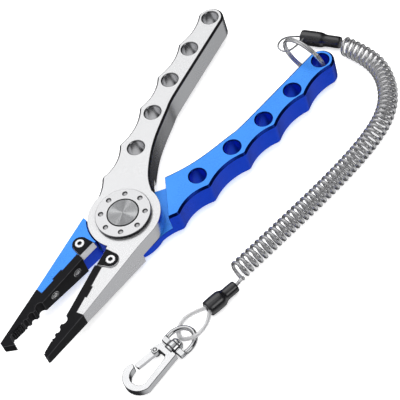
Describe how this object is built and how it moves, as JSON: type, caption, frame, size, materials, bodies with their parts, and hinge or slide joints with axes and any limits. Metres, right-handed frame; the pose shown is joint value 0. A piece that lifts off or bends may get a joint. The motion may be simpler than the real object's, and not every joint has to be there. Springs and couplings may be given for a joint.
{
  "type": "fishing pliers",
  "caption": "Pliers with one blue and one silver scalloped handle, black hooked and plain jaws, side cutters, a round pivot cap, and a coiled lanyard with a swivel snap.",
  "frame": {"origin": "centre of the back cap's flat underside, on the pivot axis", "axes": "+Z along the pivot axis towards the front cap, +Y towards the handles, jaws along -Y, blue handle at +X"},
  "size_m": [0.1121, 0.2107, 0.0247],
  "materials": {
    "blue_anodised": "anodised, satin",
    "bare_aluminium": "fine blasted and clear anodised",
    "black_steel": "black oxide, matte",
    "screw_steel": "turned steel",
    "cap_steel": "turned and polished",
    "bolt_steel": "radially brushed",
    "washer_steel": "ground",
    "ring_steel": "polished nickel plate",
    "snap_steel": "polished nickel plate",
    "loop_steel": "stranded wire",
    "loop_jacket": "clear vinyl over steel wire",
    "sleeve_black": "shrunk plastic, glossy",
    "coil_clear": "clear vinyl over steel wire"
  },
  "bodies": {
    "blue_half": {"blue_handle": "blue_anodised", "pivot_sleeve": "washer_steel", "pivot_bolt": "bolt_steel", "front_cap": "cap_steel", "back_cap": "cap_steel", "lap_washer": "washer_steel", "front_washer": "washer_steel", "hook_jaw": "black_steel", "hook_jaw_screws": "screw_steel", "blue_cutter": "black_steel", "blue_cutter_screw": "screw_steel", "near_loop": "loop_steel", "near_sleeve": "sleeve_black", "near_lead": "coil_clear", "coil_cord": "coil_clear", "far_lead": "coil_clear", "far_sleeve": "sleeve_black", "far_loop": "loop_jacket"},
    "silver_half": {"silver_handle": "bare_aluminium", "plain_jaw": "black_steel", "plain_jaw_screws": "screw_steel", "silver_cutter": "black_steel", "silver_cutter_screw": "screw_steel"},
    "key_ring": {"split_ring": "ring_steel"},
    "yoke": {"swivel_yoke": "snap_steel"},
    "snap": {"swivel_stud": "snap_steel", "snap_body": "snap_steel", "gate_pin": "snap_steel"},
    "gate": {"snap_gate": "snap_steel"}
  },
  "joints": [
    {"name": "plier_pivot", "type": "hinge", "parent": "blue_half", "child": "silver_half", "pos_m": [0, 0, 0.0095], "axis": [0, 0, 1], "range_deg": [-14.5, 20]},
    {"name": "ring_turn", "type": "hinge", "parent": "blue_half", "child": "key_ring", "pos_m": [0.022, 0.1108, 0.01245], "axis": [0.104, 0.9891, 0.1045], "continuous": true},
    {"name": "yoke_swing", "type": "hinge", "parent": "blue_half", "child": "yoke", "pos_m": [0.0526, -0.0313, 0.0034], "axis": [0, 0, 1], "range_deg": [-12, 0]},
    {"name": "snap_swivel", "type": "hinge", "parent": "yoke", "child": "snap", "pos_m": [0.0519, -0.0382, 0.0034], "axis": [0.1994, 0.9799, 0], "continuous": true},
    {"name": "gate_hinge", "type": "hinge", "parent": "snap", "child": "gate", "pos_m": [0.04641, -0.04361, 0.0034], "axis": [0, 0, 1], "range_deg": [0, 24], "stiffness_Nm_per_rad": 0.004, "springref_deg": -2.86}
  ]
}
